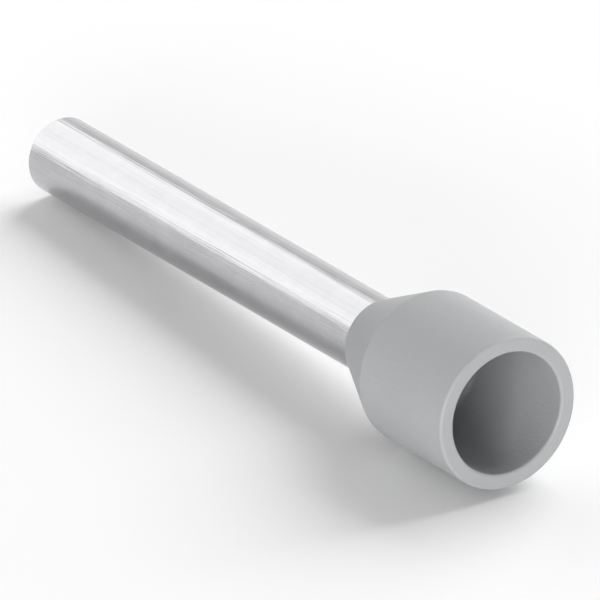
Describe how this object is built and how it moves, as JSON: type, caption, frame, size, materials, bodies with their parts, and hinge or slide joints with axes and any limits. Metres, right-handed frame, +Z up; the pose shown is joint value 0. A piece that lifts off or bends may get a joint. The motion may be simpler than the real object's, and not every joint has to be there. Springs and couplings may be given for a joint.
{
  "type": "wire ferrule",
  "caption": "Insulated wire ferrule: long tinned tube, open at both ends, its flared end held in a grey plastic collar with a conical neck and a wide round mouth.",
  "frame": {"origin": "on the surface that the ferrule lies on, under the middle of its length and width", "axes": "+X along its length towards the collar's mouth, +Z up; the ferrule's own axis rises 3.48 degrees from the cut end to the mouth, because the collar is the fatter end"},
  "size_m": [0.0252, 0.005, 0.0053],
  "materials": {
    "tinned_copper": "satin tin plate on a drawn copper tube",
    "grey_polypropylene": "moulded, fine matte"
  },
  "bodies": {
    "root": {"barrel": "tinned_copper", "collar": "grey_polypropylene"}
  },
  "joints": []
}
